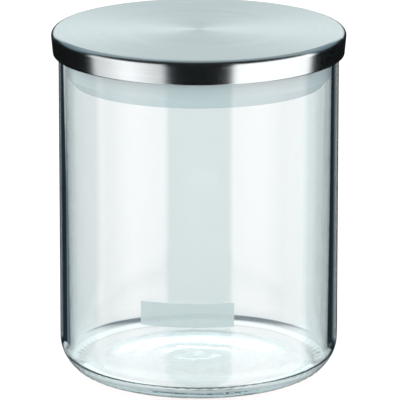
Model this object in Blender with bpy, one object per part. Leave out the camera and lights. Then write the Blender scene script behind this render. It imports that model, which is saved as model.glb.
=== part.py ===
"""Lidded glass canister: a straight-sided glass jar closed by a press-in lid.

The lid is a steel cap over a moulded plug, and a soft collar round the plug closes on the inside of the glass.
Run with: blender --background --python part.py
Units are metres, with +Z up. The origin is the middle of the foot, on the surface that the jar stands on.
"""

import math

import bmesh
import bpy
from mathutils import Matrix

MM = 0.001
SEGMENTS = 72  # a multiple of four, so that the facets reach the full width along X and Y
SHARP_EDGE = math.radians(35)
WELD = 1e-7

# Room between pieces
GAP = 0.3 * MM  # between neighbours that touch on the real object
GUIDE_CLEARANCE = 0.4 * MM  # between the glass and the guide wall outside it
HEM_CLEARANCE = 0.6 * MM  # between the glass and the cap's turned-in hem

# Glass jar
JAR_DIAMETER = 110.0 * MM
JAR_HEIGHT = 135.2 * MM
RIM_WALL = 2.6 * MM
HEEL_WALL = 3.6 * MM
HEEL_RADIUS = 14.5 * MM
INNER_HEEL_RADIUS = 6.0 * MM
FLOOR_THICKNESS = 5.6 * MM  # from the standing surface to the inside of the floor
FOOT_RING_WIDTH = 2.4 * MM
PUNT_DEPTH = 1.4 * MM  # the hollow under the floor

# Frosted film on the front of the glass
FILM_WIDTH = 36.6 * MM  # measured round the glass
FILM_HEIGHT = 9.5 * MM
FILM_THICKNESS = 0.2 * MM
FILM_MIDDLE = 37.1 * MM  # height of its middle above the foot
FILM_TURN = math.radians(-4.8)  # from straight ahead, towards -X
FILM_STEPS = 16

# Steel cap
LID_HEIGHT = 9.5 * MM
SHEET = 0.6 * MM
LID_EDGE_RADIUS = 2.2 * MM
LID_DRAFT = 0.62 * MM  # how much wider the skirt is at its top than at its hem

# Moulded plug inside the cap
DISC_THICKNESS = 1.8 * MM
GUIDE_WALL = 0.95 * MM
PLUG_DEPTH = 17.8 * MM
PLUG_WALL = 1.5 * MM
PLUG_CHAMFER = 0.5 * MM
BEAD_DEPTH = 9.0 * MM  # from the disc down to the middle of the bead that holds the seal
BEAD_HEIGHT = 2.4 * MM
BEAD_STEP = 0.8 * MM
HUB_DIAMETER = 20.0 * MM
HUB_WALL = 2.0 * MM
HUB_DEPTH = 3.6 * MM
RIB_COUNT = 8
RIB_THICKNESS = 1.2 * MM
RIB_DEPTH = 3.0 * MM

# Soft seal round the plug
SEAL_THICKNESS = 4.2 * MM
SEAL_HEIGHT = 17.2 * MM
SEAL_NOSE_HEIGHT = 4.0 * MM  # the cone that leads the seal into the jar
SEAL_NOSE_STEP = 3.0 * MM
SEAL_TOP_CHAMFER = 0.6 * MM

# The jar's own radii
JAR_RADIUS = JAR_DIAMETER / 2
FOOT_RADIUS = JAR_RADIUS - HEEL_RADIUS
INNER_HEEL_TOP = FLOOR_THICKNESS + INNER_HEEL_RADIUS

# Heights of the lid's pieces, measured up from the glass rim
DISC_UNDERSIDE = GAP
DISC_TOP = DISC_UNDERSIDE + DISC_THICKNESS
CAP_UNDERSIDE = DISC_TOP + GAP
CAP_TOP = CAP_UNDERSIDE + SHEET
CAP_BOTTOM = CAP_TOP - LID_HEIGHT
SEAL_TOP = DISC_UNDERSIDE - GAP
SEAL_BOTTOM = SEAL_TOP - SEAL_HEIGHT
BEAD_MIDDLE = DISC_UNDERSIDE - BEAD_DEPTH


def inner_radius(depth):
    """The jar's inside radius at a depth below its rim. The wall thickens evenly from the rim to the heel."""
    share = depth / (JAR_HEIGHT - INNER_HEEL_TOP)
    return JAR_RADIUS - RIM_WALL - (HEEL_WALL - RIM_WALL) * share


# Radii of the lid's pieces, from the glass outwards and from the glass inwards
GUIDE_INNER = JAR_RADIUS + GUIDE_CLEARANCE
GUIDE_OUTER = GUIDE_INNER + GUIDE_WALL
CAP_BOTTOM_RADIUS = GUIDE_OUTER + GAP + SHEET
CAP_TOP_RADIUS = CAP_BOTTOM_RADIUS + LID_DRAFT
HEM_INNER = JAR_RADIUS + HEM_CLEARANCE
SEAL_OUTER = inner_radius(SEAL_HEIGHT - SEAL_NOSE_HEIGHT) - GAP
SEAL_INNER = SEAL_OUTER - SEAL_THICKNESS
PLUG_OUTER = SEAL_INNER - GAP
PLUG_INNER = PLUG_OUTER - PLUG_WALL
EDGE_CENTRE = (CAP_TOP_RADIUS - LID_EDGE_RADIUS, CAP_TOP - LID_EDGE_RADIUS)


def clear_scene():
    for obj in list(bpy.data.objects):
        bpy.data.objects.remove(obj, do_unlink=True)


def principled(name, colour, roughness, metallic=0.0, transmission=0.0, alpha=1.0):
    """A material with the piece's plain colour and finish."""
    material = bpy.data.materials.new(name)
    material.use_nodes = True
    shader = material.node_tree.nodes["Principled BSDF"]
    shader.inputs["Base Color"].default_value = (*colour, 1.0)
    shader.inputs["Roughness"].default_value = roughness
    shader.inputs["Metallic"].default_value = metallic
    shader.inputs["Transmission Weight"].default_value = transmission
    shader.inputs["Alpha"].default_value = alpha
    material.diffuse_color = (*colour, alpha)
    return material


def add_empty(name, height, parent=None):
    empty = bpy.data.objects.new(name, None)
    empty.location.z = height
    empty.parent = parent
    bpy.context.collection.objects.link(empty)
    return empty


def add_solid(name, bm, material, parent):
    """Turns a closed bmesh into a smooth-shaded object that hangs on its parent."""
    bmesh.ops.recalc_face_normals(bm, faces=bm.faces)
    mesh = bpy.data.meshes.new(name)
    bm.to_mesh(mesh)
    bm.free()
    mesh.shade_smooth()
    mesh.set_sharp_from_angle(angle=SHARP_EDGE)
    mesh.materials.append(material)
    obj = bpy.data.objects.new(name, mesh)
    obj.parent = parent
    bpy.context.collection.objects.link(obj)
    return obj


def arc(centre, radius, start, end, steps):
    """Points along an arc, as (radius, height) pairs. Its angles are in degrees, with 0 pointing outwards."""
    angles = [math.radians(start + (end - start) * i / steps) for i in range(steps + 1)]
    return [(centre[0] + radius * math.cos(a), centre[1] + radius * math.sin(a)) for a in angles]


def turned(name, outline, material, parent):
    """A body of revolution about Z. An outline that starts off the axis is closed into a ring."""
    bm = bmesh.new()
    verts = [bm.verts.new((radius, 0.0, height)) for radius, height in outline]
    edges = [bm.edges.new(pair) for pair in zip(verts, verts[1:])]
    if outline[0][0] > 0:
        edges.append(bm.edges.new((verts[-1], verts[0])))
    bmesh.ops.spin(
        bm,
        geom=verts + edges,
        cent=(0, 0, 0),
        axis=(0, 0, 1),
        angle=math.tau,
        steps=SEGMENTS,
        use_merge=True,
    )
    bmesh.ops.remove_doubles(bm, verts=bm.verts, dist=WELD)
    return add_solid(name, bm, material, parent)


def glass_jar(parent):
    """Wall, rounded heel, ring foot with a shallow hollow inside it, and a fire-polished rim."""
    foot_inner = FOOT_RADIUS - FOOT_RING_WIDTH
    punt_steps = 5
    punt = []
    for i in range(punt_steps + 1):
        share = i / punt_steps
        punt.append((foot_inner * share, PUNT_DEPTH * (1 - share**2)))
    heel = arc((FOOT_RADIUS, HEEL_RADIUS), HEEL_RADIUS, -90, 0, 9)
    rim = arc((JAR_RADIUS - RIM_WALL / 2, JAR_HEIGHT - RIM_WALL / 2), RIM_WALL / 2, 0, 180, 6)
    inner_heel_centre = (JAR_RADIUS - HEEL_WALL - INNER_HEEL_RADIUS, INNER_HEEL_TOP)
    inner_heel = arc(inner_heel_centre, INNER_HEEL_RADIUS, 0, -90, 6)
    outline = punt + heel + rim + inner_heel + [(0, FLOOR_THICKNESS)]
    glass = principled("glass", (0.84, 0.92, 0.93), 0.03, transmission=1.0, alpha=0.35)
    return turned("glass_jar", outline, glass, parent)


def label_film(parent):
    """A thin curved patch that lies on the front of the glass."""
    inner = JAR_RADIUS + GAP
    outer = inner + FILM_THICKNESS
    low = FILM_MIDDLE - FILM_HEIGHT / 2
    high = FILM_MIDDLE + FILM_HEIGHT / 2
    sweep = FILM_WIDTH / JAR_RADIUS
    front = -math.pi / 2
    bm = bmesh.new()
    rings = []
    for i in range(FILM_STEPS + 1):
        angle = front + FILM_TURN + sweep * (i / FILM_STEPS - 0.5)
        corners = [(inner, low), (outer, low), (outer, high), (inner, high)]
        rings.append([bm.verts.new((r * math.cos(angle), r * math.sin(angle), z)) for r, z in corners])
    for ring, following in zip(rings, rings[1:]):
        for i in range(4):
            j = (i + 1) % 4
            bm.faces.new((ring[i], ring[j], following[j], following[i]))
    bm.faces.new(rings[0])
    bm.faces.new(rings[-1])
    film = principled("frosted_film", (0.86, 0.89, 0.90), 0.6, alpha=0.6)
    return add_solid("label_film", bm, film, parent)


def lid_cap(parent):
    """The pressed steel shell, with a rounded edge and a hem turned in under the plug's guide wall."""
    outer_edge = arc(EDGE_CENTRE, LID_EDGE_RADIUS, 90, 0, 5)
    inner_edge = arc(EDGE_CENTRE, LID_EDGE_RADIUS - SHEET, 0, 90, 4)
    hem_bend = arc((CAP_BOTTOM_RADIUS - SHEET, CAP_BOTTOM + SHEET), SHEET, 0, -90, 3)
    hem = [
        (HEM_INNER, CAP_BOTTOM),
        (HEM_INNER, CAP_BOTTOM + SHEET),
        (CAP_BOTTOM_RADIUS - SHEET, CAP_BOTTOM + SHEET),
    ]
    outline = [(0, CAP_TOP)] + outer_edge + hem_bend + hem + inner_edge + [(0, CAP_UNDERSIDE)]
    steel = principled("brushed_steel", (0.62, 0.65, 0.67), 0.28, metallic=1.0)
    return turned("lid_cap", outline, steel, parent)


def rib_bars(parent):
    """The bars that the plug's disc takes up as ribs. They stay hidden: only the union with the plug is a piece."""
    start = HUB_DIAMETER / 2 - HUB_WALL / 2
    end = PLUG_INNER + PLUG_WALL / 2
    low = DISC_UNDERSIDE - RIB_DEPTH
    high = DISC_UNDERSIDE + DISC_THICKNESS / 2
    size = Matrix.Diagonal((end - start, RIB_THICKNESS, high - low, 1))
    place = Matrix.Translation(((start + end) / 2, 0, (low + high) / 2))
    bm = bmesh.new()
    for i in range(RIB_COUNT):
        turn = Matrix.Rotation(math.tau * (i + 0.5) / RIB_COUNT, 4, "Z")
        bmesh.ops.create_cube(bm, size=1.0, matrix=turn @ place @ size)
    bars = add_solid("rib_bars", bm, bpy.data.materials["moulded_plug"], parent)
    bars.hide_render = True
    bars.display_type = "WIRE"
    return bars


def lid_insert(parent):
    """The moulded disc with a guide wall outside the glass and a ribbed plug inside it."""
    hub_outer = HUB_DIAMETER / 2
    hub_inner = hub_outer - HUB_WALL
    plug_bottom = DISC_UNDERSIDE - PLUG_DEPTH
    guide_bottom = CAP_BOTTOM + SHEET + GAP
    edge = arc(EDGE_CENTRE, LID_EDGE_RADIUS - SHEET - GAP, 90, 0, 3)
    bead_outer = PLUG_OUTER + BEAD_STEP
    outline = [(0, DISC_TOP)] + edge
    outline += [
        (GUIDE_OUTER, guide_bottom),
        (GUIDE_INNER, guide_bottom),
        (GUIDE_INNER, DISC_UNDERSIDE),
        (PLUG_OUTER, DISC_UNDERSIDE),
        (PLUG_OUTER, BEAD_MIDDLE + BEAD_HEIGHT / 2),
        (bead_outer, BEAD_MIDDLE + BEAD_HEIGHT / 6),
        (bead_outer, BEAD_MIDDLE - BEAD_HEIGHT / 6),
        (PLUG_OUTER, BEAD_MIDDLE - BEAD_HEIGHT / 2),
        (PLUG_OUTER, plug_bottom + PLUG_CHAMFER),
        (PLUG_OUTER - PLUG_CHAMFER, plug_bottom),
        (PLUG_INNER, plug_bottom),
        (PLUG_INNER, DISC_UNDERSIDE),
        (hub_outer, DISC_UNDERSIDE),
        (hub_outer, DISC_UNDERSIDE - HUB_DEPTH),
        (hub_inner, DISC_UNDERSIDE - HUB_DEPTH),
        (hub_inner, DISC_UNDERSIDE),
        (0, DISC_UNDERSIDE),
    ]
    plastic = principled("moulded_plug", (0.83, 0.87, 0.88), 0.4)
    insert = turned("lid_insert", outline, plastic, parent)
    union = insert.modifiers.new("ribs", "BOOLEAN")
    union.operation = "UNION"
    union.solver = "EXACT"
    union.object = rib_bars(parent)
    return insert


def seal_ring(parent):
    """The soft collar, with a groove inside that takes the plug's bead and a cone that leads it into the jar."""
    groove_outer = SEAL_INNER + BEAD_STEP
    outline = [
        (SEAL_INNER, SEAL_TOP),
        (SEAL_OUTER - SEAL_TOP_CHAMFER, SEAL_TOP),
        (SEAL_OUTER, SEAL_TOP - SEAL_TOP_CHAMFER),
        (SEAL_OUTER, SEAL_BOTTOM + SEAL_NOSE_HEIGHT),
        (SEAL_OUTER - SEAL_NOSE_STEP, SEAL_BOTTOM),
        (SEAL_INNER, SEAL_BOTTOM),
        (SEAL_INNER, BEAD_MIDDLE - BEAD_HEIGHT / 2 - GAP),
        (groove_outer, BEAD_MIDDLE - BEAD_HEIGHT / 6 - GAP),
        (groove_outer, BEAD_MIDDLE + BEAD_HEIGHT / 6 + GAP),
        (SEAL_INNER, BEAD_MIDDLE + BEAD_HEIGHT / 2 + GAP),
    ]
    silicone = principled("soft_seal", (0.80, 0.86, 0.88), 0.5, alpha=0.8)
    return turned("seal_ring", outline, silicone, parent)


def main():
    clear_scene()
    jar = add_empty("jar", 0.0)
    glass_jar(jar)
    label_film(jar)
    seal = add_empty("seal", JAR_HEIGHT, jar)
    seal_ring(seal)
    lid = add_empty("lid", 0.0, seal)
    lid_cap(lid)
    lid_insert(lid)


main()
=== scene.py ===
import math

import bmesh
import bpy
from mathutils import Matrix, Vector, noise


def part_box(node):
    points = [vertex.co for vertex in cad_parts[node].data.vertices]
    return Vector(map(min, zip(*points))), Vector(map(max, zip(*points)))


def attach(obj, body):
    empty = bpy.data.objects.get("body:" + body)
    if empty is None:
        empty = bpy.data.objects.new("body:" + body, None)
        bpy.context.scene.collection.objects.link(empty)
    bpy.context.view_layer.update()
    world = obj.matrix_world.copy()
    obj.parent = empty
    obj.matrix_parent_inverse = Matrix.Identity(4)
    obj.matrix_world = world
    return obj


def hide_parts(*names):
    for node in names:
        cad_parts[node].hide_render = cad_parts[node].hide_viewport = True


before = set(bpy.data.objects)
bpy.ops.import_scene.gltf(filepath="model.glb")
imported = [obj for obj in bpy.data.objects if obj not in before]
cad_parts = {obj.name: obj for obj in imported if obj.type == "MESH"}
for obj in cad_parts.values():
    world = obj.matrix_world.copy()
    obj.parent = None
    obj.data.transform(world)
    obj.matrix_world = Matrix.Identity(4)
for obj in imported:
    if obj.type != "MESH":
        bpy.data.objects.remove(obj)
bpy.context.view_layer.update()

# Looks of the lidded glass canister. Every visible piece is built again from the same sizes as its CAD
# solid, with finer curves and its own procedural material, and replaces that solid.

MM = 0.001

# Sizes that the frame gives
JAR_LOW, JAR_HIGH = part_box("glass_jar")
CAP_LOW, CAP_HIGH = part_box("lid_cap")
SEAL_LOW, SEAL_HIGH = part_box("seal_ring")
INSERT_LOW, INSERT_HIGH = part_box("lid_insert")
FILM_LOW, FILM_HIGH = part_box("label_film")
JAR_RADIUS = JAR_HIGH[0]
RIM = JAR_HIGH[2]
CAP_RADIUS = CAP_HIGH[0]
SEAL_RADIUS = SEAL_HIGH[0]

# Sizes inside those boxes, as the CAD model has them
GAP = 0.3 * MM
RIM_WALL = 2.6 * MM
HEEL_WALL = 3.6 * MM
HEEL_RADIUS = 14.5 * MM
INNER_HEEL_RADIUS = 6.0 * MM
FLOOR_THICKNESS = 5.6 * MM
FOOT_RING_WIDTH = 2.4 * MM
PUNT_DEPTH = 1.4 * MM
FILM_THICKNESS = 0.2 * MM
FILM_WIDTH = 36.6 * MM
FILM_TURN = math.radians(-4.8)
SHEET = 0.6 * MM
LID_EDGE_RADIUS = 2.2 * MM
LID_DRAFT = 0.62 * MM
HEM_CLEARANCE = 0.6 * MM
GUIDE_CLEARANCE = 0.4 * MM
GUIDE_WALL = 0.95 * MM
PLUG_WALL = 1.5 * MM
BEAD_DEPTH = 9.0 * MM
BEAD_HEIGHT = 2.4 * MM
BEAD_STEP = 0.8 * MM
HUB_RADIUS = 10.0 * MM
HUB_WALL = 2.0 * MM
HUB_DEPTH = 3.6 * MM
RIB_COUNT = 8
RIB_THICKNESS = 1.2 * MM
RIB_DEPTH = 3.0 * MM
SEAL_THICKNESS = 4.2 * MM
SEAL_NOSE_HEIGHT = 4.0 * MM
SEAL_NOSE_STEP = 3.0 * MM

# Roundings and overlaps that only the looks have
BEAD_SINK = 0.5 * MM
RIB_SINK = 0.5 * MM
RIB_EDGE = 0.25 * MM
SEAL_EDGE_RADIUS = 0.6 * MM

# Mesh
SEGMENTS = 288
WELD = 1e-7
LONGEST_STEP = 3.0 * MM
SUPPORT_STEP = 0.25 * MM
SHARP_ANGLE = 30.0

# Small unevenness of the glass that only the looks have, on its heel, its inside wall and its floor
INSIDE_DEPTH = 2.0 * MM
TOLERANCE = 0.1 * MM
KNURL_COUNT = 72
KNURL_HEIGHT = 0.16 * MM
KNURL_SLOPE, KNURL_SPREAD = 36.0, 8.0
WALL_DRIFT = 0.06 * MM
FLOOR_DRIFT = 0.08 * MM
FLOOR_WAVE = 0.05 * MM
FLOOR_WAVE_LENGTH = 2.6 * MM

# Rings in the jar's floor, as the glass material shows them. RIPPLE_TURN is in radians per metre.
RIPPLE_DEPTH = 0.07 * MM
RIPPLE_TURN = 620.0
RIPPLE_REACH, RIPPLE_FADE = 0.3 * MM, 0.2 * MM
RIPPLE_MIDDLE, RIPPLE_EDGE = 16 * MM, 40 * MM

# A ray that is mirrored more often than this inside the glass leaves it unbent
DEEPEST_BOUNCE = 2.5

# Floor: rings by inner radius, outer radius and soft edge, and where a change starts and ends
SHADOW_RING = (62 * MM, 70 * MM, 4 * MM)
BRIGHT_RING = (51 * MM, 56 * MM, 2 * MM)
UNDER_JAR = (46 * MM, 53 * MM)
BEHIND_JAR = (42 * MM, 60 * MM)
FLOOR_HALF_SIZE = 40.0
FLOOR_DROP = 0.2 * MM

# Light and camera
WHITE_LIGHT = 1.3
LENS = 440.0
CAMERA_PLACE = (0.0, -1.87, 0.554)
CAMERA_PITCH, CAMERA_YAW = 14.541, 0.0152


# ---------------------------------------------------------------- outlines and meshes


def arc(centre, radius, start, end, steps):
    """Points along an arc, as (radius, height) pairs. Angles are in degrees, and 0 is outwards."""
    angles = [math.radians(start + (end - start) * i / steps) for i in range(steps + 1)]
    return [(centre[0] + radius * math.cos(a), centre[1] + radius * math.sin(a)) for a in angles]


def refined(outline):
    """The outline with its long straight stretches split, closely at their ends for true shading."""
    points = [outline[0]]
    for start, end in zip(outline, outline[1:]):
        length = math.dist(start, end)
        if length > LONGEST_STEP:
            inner = length - 2 * SUPPORT_STEP
            count = math.ceil(inner / LONGEST_STEP)
            marks = [SUPPORT_STEP + inner * i / count for i in range(count + 1)]
        elif length > 4 * SUPPORT_STEP:
            marks = [SUPPORT_STEP, length - SUPPORT_STEP]
        else:
            marks = []
        for mark in marks:
            share = mark / length
            points.append(tuple(a + (b - a) * share for a, b in zip(start, end)))
        points.append(end)
    return points


def add_piece(name, bm, material):
    """Links a bmesh as a smooth-shaded object with one material."""
    bmesh.ops.recalc_face_normals(bm, faces=bm.faces)
    mesh = bpy.data.meshes.new(name)
    bm.to_mesh(mesh)
    bm.free()
    mesh.shade_smooth()
    mesh.set_sharp_from_angle(angle=math.radians(SHARP_ANGLE))
    mesh.materials.append(material)
    obj = bpy.data.objects.new(name, mesh)
    bpy.context.collection.objects.link(obj)
    return obj


def turned(name, outline, material, shape=None):
    """A body of revolution about Z. shape may move each point: it takes and returns a Vector."""
    bm = bmesh.new()
    closed = outline[0][0] != 0
    if closed:
        points = refined(outline + outline[:1])[:-1]
    else:
        points = refined(outline)
    verts = [bm.verts.new((radius, 0.0, height)) for radius, height in points]
    edges = [bm.edges.new(pair) for pair in zip(verts, verts[1:])]
    if closed:
        edges.append(bm.edges.new((verts[-1], verts[0])))
    bmesh.ops.spin(
        bm,
        geom=verts + edges,
        cent=(0, 0, 0),
        axis=(0, 0, 1),
        angle=math.tau,
        steps=SEGMENTS,
        use_merge=True,
    )
    bmesh.ops.remove_doubles(bm, verts=bm.verts, dist=WELD)
    if shape:
        for vert in bm.verts:
            vert.co = shape(vert.co)
    return add_piece(name, bm, material)


# ---------------------------------------------------------------- node graphs


class Graph:
    """Adds nodes to the tree of a material or the world. Each call returns an output of the new node."""

    def __init__(self, owner):
        owner.use_nodes = True
        self.tree = owner.node_tree
        self.tree.nodes.clear()

    def node(self, kind, output=0, inputs=None, **settings):
        made = self.tree.nodes.new(kind)
        for key, value in settings.items():
            setattr(made, key, value)
        for key, value in (inputs or {}).items():
            self.feed(made.inputs[key], value)
        return made.outputs[output] if made.outputs else made

    def feed(self, socket, value):
        if isinstance(value, bpy.types.NodeSocket):
            self.tree.links.new(value, socket)
        else:
            socket.default_value = value

    def math(self, operation, *values):
        return self.node("ShaderNodeMath", inputs=dict(enumerate(values)), operation=operation)

    def times(self, first, second):
        return self.math("MULTIPLY", first, second)

    def plus(self, first, second):
        return self.math("ADD", first, second)

    def more(self, first, second):
        """1 where the first is greater, else 0."""
        return self.math("GREATER_THAN", first, second)

    def ramp(self, value, low, high, at_low, at_high):
        """A smooth step from at_low to at_high, as value goes from low to high."""
        inputs = {0: value, 1: low, 2: high, 3: at_low, 4: at_high}
        return self.node("ShaderNodeMapRange", inputs=inputs, interpolation_type="SMOOTHSTEP")

    def band(self, value, low, high, soft):
        """1 between low and high, falling to 0 over a soft edge outside them."""
        rise = self.ramp(value, low - soft, low, 0.0, 1.0)
        fall = self.ramp(value, high, high + soft, 1.0, 0.0)
        return self.times(rise, fall)

    def choose(self, switch, off, on):
        """One number or the other, by a switch that is 0 or 1."""
        return self.node("ShaderNodeMapRange", inputs={0: switch, 1: 0.0, 2: 1.0, 3: off, 4: on})

    def noise(self, vector, scale, detail=3.0, roughness=0.5):
        inputs = {"Vector": vector, "Scale": scale, "Detail": detail, "Roughness": roughness}
        return self.node("ShaderNodeTexNoise", inputs=inputs)

    def mix(self, share, first, second):
        """A colour between two colours."""
        made = self.tree.nodes.new("ShaderNodeMix")
        made.data_type = "RGBA"
        for index, value in ((0, share), (6, first), (7, second)):
            self.feed(made.inputs[index], value)
        return made.outputs[2]


def polar(graph):
    """Radius, turn about Z, height and position of the shaded point, in metres and radians."""
    place = graph.node("ShaderNodeTexCoord", output=3)
    split = graph.node("ShaderNodeSeparateXYZ", inputs={0: place}).node
    x, y, z = split.outputs
    radius = graph.math("SQRT", graph.plus(graph.times(x, x), graph.times(y, y)))
    return radius, graph.math("ARCTAN2", y, x), z, place


# ---------------------------------------------------------------- materials


def glass_material():
    """Clear soda-lime glass. Soft light passes it unbent, and so does a ray trapped inside it."""
    material = bpy.data.materials.new("glass")
    graph = Graph(material)
    radius, _, height, place = polar(graph)
    waves = graph.noise(place, 38.0, 2.0)
    bump = graph.node("ShaderNodeBump", inputs={"Strength": 0.03, "Distance": 0.4 * MM, "Height": waves})

    # Faint rings that the mould leaves in the jar's floor, broken by drift and strongest near the middle
    drift = graph.times(graph.noise(place, 70.0, 3.0), 10.0)
    ripple = graph.math("SINE", graph.plus(graph.times(radius, RIPPLE_TURN), drift))
    low, high = FLOOR_THICKNESS - RIPPLE_REACH, FLOOR_THICKNESS + RIPPLE_REACH
    on_floor = graph.band(height, low, high, RIPPLE_FADE)
    middle = graph.ramp(radius, RIPPLE_MIDDLE, RIPPLE_EDGE, 1.0, 0.25)
    ripple = graph.times(ripple, graph.times(on_floor, middle))
    bump = graph.node(
        "ShaderNodeBump",
        inputs={"Strength": 1.0, "Distance": RIPPLE_DEPTH, "Height": ripple, "Normal": bump},
    )

    glass = graph.node(
        "ShaderNodeBsdfPrincipled",
        inputs={
            "Base Color": (0.85, 0.89, 0.893, 1.0),
            "Roughness": 0.0,
            "IOR": 1.5,
            "Transmission Weight": 1.0,
            "Normal": bump,
        },
    )
    clear = graph.node("ShaderNodeBsdfTransparent", inputs={0: (0.98, 0.99, 0.99, 1.0)})
    path = graph.node("ShaderNodeLightPath").node
    soft = graph.math("MAXIMUM", path.outputs["Is Shadow Ray"], path.outputs["Is Diffuse Ray"])
    trapped = graph.more(path.outputs["Glossy Depth"], DEEPEST_BOUNCE)
    unbent = graph.math("MAXIMUM", soft, trapped)
    surface = graph.node("ShaderNodeMixShader", inputs={0: unbent, 1: glass, 2: clear})
    tint_inputs = {"Color": (0.45, 0.70, 0.74, 1.0), "Density": 9.0}
    tint = graph.node("ShaderNodeVolumeAbsorption", inputs=tint_inputs)
    graph.node("ShaderNodeOutputMaterial", inputs={"Surface": surface, "Volume": tint})
    return material


def steel_material(name, colour, roughness, anisotropy, ring_scale):
    """Stainless steel brushed round the axis: fine rings in tone, roughness and height."""
    material = bpy.data.materials.new(name)
    graph = Graph(material)
    radius, turn, height, _ = polar(graph)
    drift = graph.times(turn, 0.0007)
    rings = graph.node("ShaderNodeCombineXYZ", inputs={0: radius, 1: drift, 2: height})
    fine = graph.noise(rings, ring_scale, 3.0, 0.6)
    broad = graph.noise(rings, ring_scale * 0.12, 2.0, 0.5)
    tone = graph.plus(graph.times(fine, 0.6), graph.times(broad, 0.4))
    tone = graph.ramp(tone, 0.3, 0.7, 0.0, 1.0)
    darker = tuple(c * 0.93 for c in colour)
    shade = graph.mix(tone, (*darker, 1.0), (*colour, 1.0))
    rough = graph.ramp(fine, 0.25, 0.75, roughness * 0.85, roughness * 1.15)
    bump = graph.node("ShaderNodeBump", inputs={"Strength": 0.06, "Distance": 0.03 * MM, "Height": fine})
    tangent = graph.node("ShaderNodeTangent", direction_type="RADIAL", axis="Z")
    steel = graph.node(
        "ShaderNodeBsdfPrincipled",
        inputs={
            "Base Color": shade,
            "Metallic": 1.0,
            "Roughness": rough,
            "Anisotropic": anisotropy,
            "Anisotropic Rotation": 0.25,
            "Tangent": tangent,
            "Normal": bump,
        },
    )
    graph.node("ShaderNodeOutputMaterial", inputs={"Surface": steel})
    return material


def plastic_material(name, colour, roughness, shine, grain_scale):
    """Milky moulded plastic or silicone with a faint mould grain. shine is its specular level."""
    material = bpy.data.materials.new(name)
    graph = Graph(material)
    _, _, _, place = polar(graph)
    cloud = graph.noise(place, 60.0, 3.0)
    grain = graph.noise(place, grain_scale, 2.0)
    low = tuple(c * 0.97 for c in colour)
    shade = graph.mix(cloud, (*low, 1.0), (*colour, 1.0))
    bump = graph.node("ShaderNodeBump", inputs={"Strength": 0.15, "Distance": 0.05 * MM, "Height": grain})
    rough = graph.ramp(cloud, 0.3, 0.7, roughness * 0.9, roughness * 1.1)
    plastic = graph.node(
        "ShaderNodeBsdfPrincipled",
        inputs={
            "Base Color": shade,
            "Roughness": rough,
            "IOR": 1.43,
            "Specular IOR Level": shine,
            "Normal": bump,
        },
    )
    graph.node("ShaderNodeOutputMaterial", inputs={"Surface": plastic})
    return material


def film_material():
    """Frosted translucent film: a fine speckle, and part of the light passes straight through it."""
    material = bpy.data.materials.new("frosted_film")
    graph = Graph(material)
    _, _, _, place = polar(graph)
    speckle = graph.noise(place, 2200.0, 2.0)
    shade = graph.mix(speckle, (0.49, 0.59, 0.60, 1.0), (0.56, 0.66, 0.67, 1.0))
    bump = graph.node("ShaderNodeBump", inputs={"Strength": 0.2, "Distance": 0.03 * MM, "Height": speckle})
    frost = graph.node(
        "ShaderNodeBsdfPrincipled",
        inputs={
            "Base Color": shade,
            "Roughness": 0.65,
            "IOR": 1.45,
            "Alpha": 0.72,
            "Normal": bump,
        },
    )
    graph.node("ShaderNodeOutputMaterial", inputs={"Surface": frost})
    return material


GLASS = glass_material()
STEEL = steel_material("brushed_steel", (0.605, 0.715, 0.73), 0.215, 0.80, 2600.0)
PLUG = plastic_material("moulded_plug", (0.74, 0.80, 0.82), 0.42, 0.5, 900.0)
SEAL = plastic_material("soft_seal", (0.62, 0.715, 0.735), 0.36, 0.95, 700.0)
FILM = film_material()


# ---------------------------------------------------------------- the jar


def jar_outline():
    """Hollow under the floor, foot, heel, wall and rim, then back down the inside to the floor."""
    foot_radius = JAR_RADIUS - HEEL_RADIUS
    foot_inner = foot_radius - FOOT_RING_WIDTH
    punt_steps = 14
    shares = [i / punt_steps for i in range(punt_steps + 1)]
    punt = [(foot_inner * share, PUNT_DEPTH * (1 - share**2)) for share in shares]
    heel = arc((foot_radius, HEEL_RADIUS), HEEL_RADIUS, -90, 0, 30)
    rim = arc((JAR_RADIUS - RIM_WALL / 2, RIM - RIM_WALL / 2), RIM_WALL / 2, 0, 180, 16)
    inner_centre = (JAR_RADIUS - HEEL_WALL - INNER_HEEL_RADIUS, FLOOR_THICKNESS + INNER_HEEL_RADIUS)
    inner_heel = arc(inner_centre, INNER_HEEL_RADIUS, 0, -90, 18)
    return punt + heel + rim + inner_heel + [(0.0, FLOOR_THICKNESS)]


def knurl(co, radius):
    """How far a point on the heel stands out, for a ring of short raised bars that give grip."""
    foot_radius = JAR_RADIUS - HEEL_RADIUS
    slope = math.degrees(math.atan2(radius - foot_radius, HEEL_RADIUS - co.z))
    if abs(slope - KNURL_SLOPE) >= KNURL_SPREAD or radius < foot_radius:
        return 0.0
    across = math.cos(math.radians((slope - KNURL_SLOPE) / KNURL_SPREAD * 90))
    wave = math.cos(math.atan2(co.y, co.x) * KNURL_COUNT)
    return KNURL_HEIGHT * across * max(0.0, wave)


def jar_shape(co):
    """The inside of the glass drifts by a few hundredths of a millimetre, and the heel has its knurl."""
    radius = math.hypot(co.x, co.y)
    if radius < 1e-6:
        return co
    outward = Vector((co.x / radius, co.y / radius, 0.0))
    inner = radius < JAR_RADIUS - INSIDE_DEPTH and co.z > FLOOR_THICKNESS - TOLERANCE
    if inner:
        drift = noise.noise(Vector((co.x * 30, co.y * 30, co.z * 11)))
        if co.z > FLOOR_THICKNESS + TOLERANCE:
            return co + outward * (WALL_DRIFT * drift)
        wave = math.sin(radius / FLOOR_WAVE_LENGTH) * FLOOR_WAVE
        return co + Vector((0, 0, wave + FLOOR_DRIFT * drift))
    lift = knurl(co, radius)
    if lift:
        heel_centre = outward * (JAR_RADIUS - HEEL_RADIUS) + Vector((0, 0, HEEL_RADIUS))
        return co + (co - heel_centre).normalized() * lift
    return co


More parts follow.
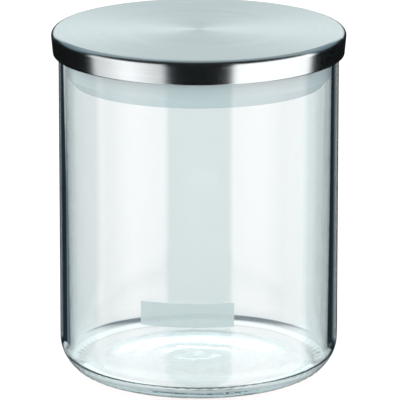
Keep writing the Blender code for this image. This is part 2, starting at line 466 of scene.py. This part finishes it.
jar = turned("jar_glass", jar_outline(), GLASS, jar_shape)
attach(jar, "jar")
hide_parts("glass_jar")


def film_piece():
    """The curved patch on the front of the glass."""
    inner = JAR_RADIUS + GAP
    outer = inner + FILM_THICKNESS
    low, high = FILM_LOW[2], FILM_HIGH[2]
    sweep = FILM_WIDTH / JAR_RADIUS
    steps = 48
    bm = bmesh.new()
    rings = []
    for i in range(steps + 1):
        angle = -math.pi / 2 + FILM_TURN + sweep * (i / steps - 0.5)
        corners = [(inner, low), (outer, low), (outer, high), (inner, high)]
        rings.append([bm.verts.new((r * math.cos(angle), r * math.sin(angle), z)) for r, z in corners])
    for ring, following in zip(rings, rings[1:]):
        for i in range(4):
            j = (i + 1) % 4
            bm.faces.new((ring[i], ring[j], following[j], following[i]))
    bm.faces.new(rings[0])
    bm.faces.new(rings[-1])
    return add_piece("film_patch", bm, FILM)


film = film_piece()
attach(film, "jar")
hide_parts("label_film")


# ---------------------------------------------------------------- the lid

CAP_TOP, CAP_BOTTOM = CAP_HIGH[2], CAP_LOW[2]
DISC_TOP = INSERT_HIGH[2]
DISC_UNDERSIDE = RIM + GAP
PLUG_BOTTOM = INSERT_LOW[2]
SEAL_INNER = SEAL_RADIUS - SEAL_THICKNESS
PLUG_OUTER = SEAL_INNER - GAP
PLUG_INNER = PLUG_OUTER - PLUG_WALL
EDGE_CENTRE = (CAP_RADIUS - LID_EDGE_RADIUS, CAP_TOP - LID_EDGE_RADIUS)
BEAD_MIDDLE = DISC_UNDERSIDE - BEAD_DEPTH


def cap_outline():
    """Outside of the pressed sheet down to the hem and its lip, then back up the inside."""
    bottom_radius = CAP_RADIUS - LID_DRAFT
    hem_inner = JAR_RADIUS + HEM_CLEARANCE
    outer_edge = arc(EDGE_CENTRE, LID_EDGE_RADIUS, 90, 0, 20)
    inner_edge = arc(EDGE_CENTRE, LID_EDGE_RADIUS - SHEET, 0, 90, 10)
    hem_bend = arc((bottom_radius - SHEET, CAP_BOTTOM + SHEET), SHEET, 0, -90, 10)
    lip = arc((hem_inner + SHEET / 2, CAP_BOTTOM + SHEET / 2), SHEET / 2, -90, -270, 8)
    corner = [(bottom_radius - SHEET, CAP_BOTTOM + SHEET)]
    outside = [(0.0, CAP_TOP)] + outer_edge + hem_bend + lip
    return outside + corner + inner_edge + [(0.0, CAP_TOP - SHEET)]


cap = turned("steel_cap", cap_outline(), STEEL)
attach(cap, "lid")
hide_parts("lid_cap")


def insert_outline():
    """Disc under the sheet, guide wall outside the glass, plug wall with its bead, and hub."""
    guide_inner = JAR_RADIUS + GUIDE_CLEARANCE
    guide_outer = guide_inner + GUIDE_WALL
    guide_bottom = CAP_BOTTOM + SHEET + GAP
    edge = arc(EDGE_CENTRE, LID_EDGE_RADIUS - SHEET - GAP, 90, 0, 8)
    bead_radius = BEAD_STEP + BEAD_SINK
    reach = math.degrees(math.acos(BEAD_SINK / bead_radius))
    bead = arc((PLUG_OUTER - BEAD_SINK, BEAD_MIDDLE), bead_radius, reach, -reach, 10)
    tip = arc((PLUG_OUTER - PLUG_WALL / 2, PLUG_BOTTOM + PLUG_WALL / 2), PLUG_WALL / 2, 0, -180, 12)
    hub_centre = (HUB_RADIUS - HUB_WALL / 2, DISC_UNDERSIDE - HUB_DEPTH + HUB_WALL / 2)
    hub_tip = arc(hub_centre, HUB_WALL / 2, 0, -180, 8)
    return (
        [(0.0, DISC_TOP)]
        + edge
        + [(guide_outer, guide_bottom), (guide_inner, guide_bottom), (guide_inner, DISC_UNDERSIDE)]
        + [(PLUG_OUTER, DISC_UNDERSIDE)]
        + bead
        + tip
        + [(PLUG_INNER, DISC_UNDERSIDE), (HUB_RADIUS, DISC_UNDERSIDE)]
        + hub_tip
        + [(HUB_RADIUS - HUB_WALL, DISC_UNDERSIDE), (0.0, DISC_UNDERSIDE)]
    )


def insert_ribs():
    """Radial ribs under the disc, sunk a little into the hub and the plug wall that they join."""
    start = HUB_RADIUS - HUB_WALL / 2
    end = PLUG_INNER + PLUG_WALL / 2
    low = DISC_UNDERSIDE - RIB_DEPTH
    high = DISC_UNDERSIDE + RIB_SINK
    size = Matrix.Diagonal((end - start, RIB_THICKNESS, high - low, 1))
    place = Matrix.Translation(((start + end) / 2, 0, (low + high) / 2))
    bm = bmesh.new()
    for i in range(RIB_COUNT):
        turn = Matrix.Rotation(math.tau * (i + 0.5) / RIB_COUNT, 4, "Z")
        bmesh.ops.create_cube(bm, size=1.0, matrix=turn @ place @ size)
    bmesh.ops.bevel(bm, geom=bm.edges, offset=RIB_EDGE, segments=2, affect="EDGES", profile=0.5)
    return add_piece("plug_ribs", bm, PLUG)


insert = turned("plug_insert", insert_outline(), PLUG)
ribs = insert_ribs()
for piece in (insert, ribs):
    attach(piece, "lid")
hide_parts("lid_insert")


def seal_outline():
    """A collar with a tapered nose, and a groove inside that holds it on the plug's bead."""
    bottom, top = SEAL_LOW[2], SEAL_HIGH[2]
    top_centre = (SEAL_RADIUS - SEAL_EDGE_RADIUS, top - SEAL_EDGE_RADIUS)
    round_top = arc(top_centre, SEAL_EDGE_RADIUS, 90, 0, 6)
    groove_outer = SEAL_INNER + BEAD_STEP
    mouth = BEAD_HEIGHT / 2 + GAP
    groove = BEAD_HEIGHT / 6 + GAP
    return (
        [(SEAL_INNER, top)]
        + round_top
        + [(SEAL_RADIUS, bottom + SEAL_NOSE_HEIGHT), (SEAL_RADIUS - SEAL_NOSE_STEP, bottom)]
        + [(SEAL_INNER, bottom), (SEAL_INNER, BEAD_MIDDLE - mouth)]
        + [(groove_outer, BEAD_MIDDLE - groove), (groove_outer, BEAD_MIDDLE + groove)]
        + [(SEAL_INNER, BEAD_MIDDLE + mouth)]
    )


seal = turned("seal_collar", seal_outline(), SEAL)
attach(seal, "seal")
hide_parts("seal_ring")


# ---------------------------------------------------------------- floor, light and camera


def studio_floor():
    """A wide pale floor. Mirror rays and rays bounced inside the glass pass it and see the studio.

    It is a little warmer under the jar. Seen through the glass it also has the jar's soft shadow behind
    it, and the bright ring of light that the heel throws.
    """
    bm = bmesh.new()
    bmesh.ops.create_grid(bm, x_segments=1, y_segments=1, size=FLOOR_HALF_SIZE)
    material = bpy.data.materials.new("pale_floor")
    graph = Graph(material)
    radius, _, _, place = polar(graph)
    behind = graph.node("ShaderNodeSeparateXYZ", inputs={0: place}).node.outputs[1]
    path = graph.node("ShaderNodeLightPath").node
    through = graph.more(path.outputs["Transmission Depth"], 0.5)
    far_side = graph.ramp(behind, *BEHIND_JAR, 0.0, 1.0)
    shadow = graph.times(graph.times(graph.band(radius, *SHADOW_RING), far_side), through)
    bright = graph.times(graph.band(radius, *BRIGHT_RING), through)
    grain = graph.noise(place, 3.0, 2.0)
    pale = graph.mix(grain, (0.90, 0.90, 0.90, 1.0), (0.91, 0.91, 0.91, 1.0))
    under = graph.ramp(radius, *UNDER_JAR, 1.0, 0.0)
    pale = graph.mix(under, pale, (0.98, 0.88, 0.87, 1.0))
    shade = graph.mix(shadow, pale, (0.09, 0.165, 0.20, 1.0))
    matt = graph.node(
        "ShaderNodeBsdfPrincipled",
        inputs={
            "Base Color": shade,
            "Roughness": 0.9,
            "Specular IOR Level": 0.0,
            "Emission Color": (1.0, 1.0, 1.0, 1.0),
            "Emission Strength": graph.times(bright, 0.3),
        },
    )
    bounced = graph.more(path.outputs["Glossy Depth"], 0.5)
    open_air = graph.node("ShaderNodeBsdfTransparent")
    surface = graph.node("ShaderNodeMixShader", inputs={0: bounced, 1: matt, 2: open_air})
    graph.node("ShaderNodeOutputMaterial", inputs={"Surface": surface})
    floor = add_piece("studio_floor", bm, material)
    floor.location.z = JAR_LOW[2] - FLOOR_DROP
    floor.visible_glossy = False


def studio_world():
    """White for the eye and for soft light. Mirror rays see tall softboxes at both sides.

    Directions are in degrees: rise is above the horizon, and turn is about Z, 0 in front, 180 behind.
    """
    world = bpy.data.worlds.new("studio")
    bpy.context.scene.world = world
    graph = Graph(world)
    times, plus, ramp, band = graph.times, graph.plus, graph.ramp, graph.band
    place = graph.node("ShaderNodeTexCoord", output=0)
    split = graph.node("ShaderNodeSeparateXYZ", inputs={0: place}).node
    x, y, z = split.outputs
    degrees = 180 / math.pi
    rise = times(graph.math("ARCSINE", z), degrees)
    side = times(graph.math("ARCTAN2", x, times(y, -1.0)), degrees)
    turn = graph.math("ABSOLUTE", side)
    right = graph.more(side, 0.0)

    # Two softboxes, the right one stronger and a little wider
    left_box = times(band(turn, 30, 90, 6), ramp(turn, 28, 60, 0.95, 1.5))
    left_box = times(left_box, ramp(turn, 58, 84, 1.0, 0.7))
    right_box = times(band(turn, 30, 98, 5), 1.6)
    boxes = graph.choose(right, left_box, right_box)
    boxes = times(boxes, band(rise, -70, 22, 6))

    # What a polished surface reflects: the softboxes, a white band behind and a soft ceiling above it
    backdrop = times(band(turn, 156, 400, 8), band(rise, 9, 23, 5))
    ceiling = plus(ramp(rise, 11, 17, 0.0, 0.28), ramp(rise, 25, 40, 0.0, 0.17))
    ceiling = times(ceiling, ramp(turn, 96, 120, 0.0, 1.0))
    outer = plus(boxes, graph.math("MAXIMUM", backdrop, ceiling))

    # What light bounced inside the glass finds: the table behind, dark towards the sides, a pale card at
    # its left with a slanting end, light above the table, and a glow past the left softbox
    right_table = ramp(turn, 152, 172, 0.03, 1.1)
    card_end = ramp(rise, -15.7, -13.4, 147.5, 153.0)
    left_card = times(ramp(turn, 144, 150, 0.35, 1.0), ramp(rise, -15.7, -13.4, 0.4, 1.0))
    left_card = times(left_card, ramp(turn, card_end, plus(card_end, 3.0), 1.0, 0.0))
    left_table = plus(ramp(turn, 160, 174, 0.04, 1.1), left_card)
    table = graph.choose(right, left_table, right_table)
    table = times(table, ramp(rise, -40, -30, 0.03, 1.0))
    above = times(ramp(rise, 3, 9, 0.0, 1.7), ramp(turn, 104, 116, 0.0, 1.0))
    behind = graph.math("MAXIMUM", times(table, ramp(turn, 100, 110, 0.0, 1.0)), above)
    left_glow = graph.choose(right, times(band(turn, 96, 126, 12), 0.9), 0.0)
    dimmed = times(boxes, ramp(turn, 50, 85, 1.0, 0.6))
    inner = plus(plus(dimmed, behind), left_glow)

    # What a ray trapped in the glass finds: a haze that is darker low down, near the horizon, in a
    # narrow notch below it and towards the sides
    level = graph.math("ABSOLUTE", rise)
    at_horizon = ramp(turn, 169, 177, 0.45, 0.0)
    notch = times(band(rise, -25.0, -22.5, 1.0), ramp(turn, 169, 177, 0.0, 0.95))
    haze = times(ramp(rise, -45, 40, 0.62, 1.9), ramp(level, 6, 12, at_horizon, 1.0))
    haze = times(haze, graph.math("SUBTRACT", 1.0, notch))
    haze = times(haze, ramp(turn, 138, 156, 0.04, 1.0))

    path = graph.node("ShaderNodeLightPath").node
    bounces = path.outputs["Glossy Depth"]
    inside = graph.more(path.outputs["Transmission Depth"], 0.5)
    trapped = graph.more(bounces, DEEPEST_BOUNCE)
    glow = graph.choose(trapped, graph.choose(inside, outer, inner), haze)

    # Dark parts are bluish, the softboxes a little warm, more so inside the glass, and the rest neutral
    warm = graph.mix(inside, (1.1, 0.97, 0.965, 1.0), (1.5, 1.02, 0.98, 1.0))
    bright = graph.mix(ramp(turn, 96, 110, 1.0, 0.0), (0.97, 1.0, 1.005, 1.0), warm)
    tint = graph.mix(ramp(glow, 0, 0.6, 0.0, 1.0), (0.6, 0.95, 1.2, 1.0), bright)
    mirror = graph.node("ShaderNodeBackground", inputs={0: tint, 1: glow})
    white = graph.node("ShaderNodeBackground", inputs={0: (1.0, 1.0, 1.0, 1.0), 1: WHITE_LIGHT})
    bounced = graph.more(bounces, 0.5)
    surface = graph.node("ShaderNodeMixShader", inputs={0: bounced, 1: white, 2: mirror})
    graph.node("ShaderNodeOutputWorld", inputs={"Surface": surface})


def studio_camera():
    """A long lens, a little above the lid."""
    data = bpy.data.cameras.new("camera")
    data.sensor_width = 36.0
    data.lens = LENS
    data.clip_end = 100.0
    camera = bpy.data.objects.new("camera", data)
    camera.location = CAMERA_PLACE
    camera.rotation_euler = (math.radians(90 - CAMERA_PITCH), 0.0, math.radians(-CAMERA_YAW))
    bpy.context.collection.objects.link(camera)
    bpy.context.scene.camera = camera


studio_camera()
studio_world()
studio_floor()
bpy.context.scene.view_settings.view_transform = "Standard"
